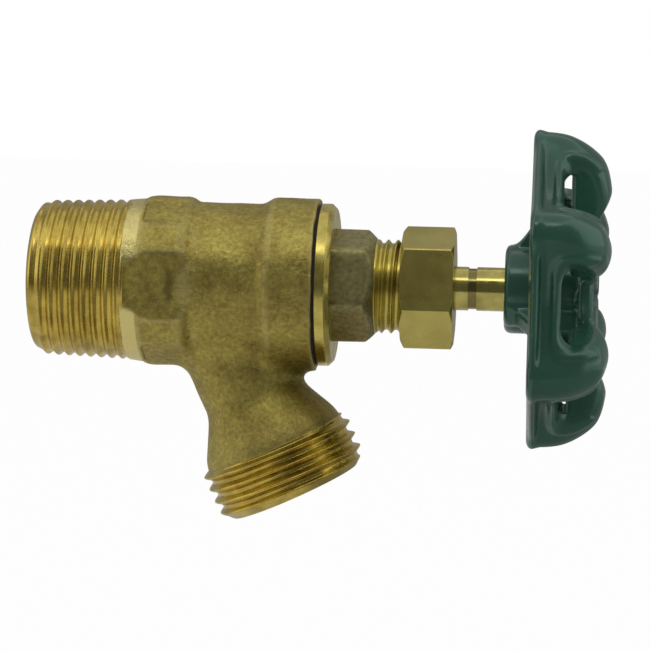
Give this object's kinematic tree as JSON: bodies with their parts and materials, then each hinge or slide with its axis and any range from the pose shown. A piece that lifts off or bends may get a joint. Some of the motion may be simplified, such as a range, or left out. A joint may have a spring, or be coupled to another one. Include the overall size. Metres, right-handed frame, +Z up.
{
  "type": "boiler drain valve",
  "caption": "Brass boiler drain valve with a tapered pipe inlet, a leaning hose-thread outlet and a rising stem turned by a lobed green handwheel.",
  "frame": {"origin": "centre of the inlet's end face, on the valve axis", "axes": "+X along the valve axis from the inlet to the handwheel, +Z up, the hose outlet points down and leans towards +X"},
  "size_m": [0.0955, 0.048, 0.0659],
  "materials": {
    "cast_brass": "sand cast, as cast",
    "bonnet_brass": "forged, part machined",
    "machined_brass": "bright turned",
    "green_paint": "gloss enamel",
    "rubber": "moulded",
    "fibre": "pressed fibre",
    "graphite": "pressed graphite",
    "zinc_steel": "zinc plated"
  },
  "bodies": {
    "valve_body": {"body": "cast_brass", "bonnet": "bonnet_brass", "bonnet_gasket": "fibre", "packing_washer": "machined_brass", "packing_ring": "graphite", "packing_gland": "machined_brass", "packing_nut": "machined_brass"},
    "washer_carrier": {"seat_washer": "rubber"},
    "stem_and_wheel": {"stem": "machined_brass", "seat_washer_screw": "machined_brass", "handwheel": "green_paint", "handwheel_washer": "zinc_steel", "handwheel_screw": "zinc_steel"}
  },
  "joints": [
    {"name": "stem_rise", "type": "slide", "parent": "valve_body", "child": "washer_carrier", "axis": [1, 0, 0], "range_m": [0, 0.007]},
    {"name": "stem_turn", "type": "hinge", "parent": "washer_carrier", "child": "stem_and_wheel", "pos_m": [0.05, 0, 0], "axis": [1, 0, 0], "range_deg": [0, 990]}
  ],
  "couplings": [
    {"joint": "stem_rise", "follows": "stem_turn", "m_per_rad": 0.00040425}
  ]
}
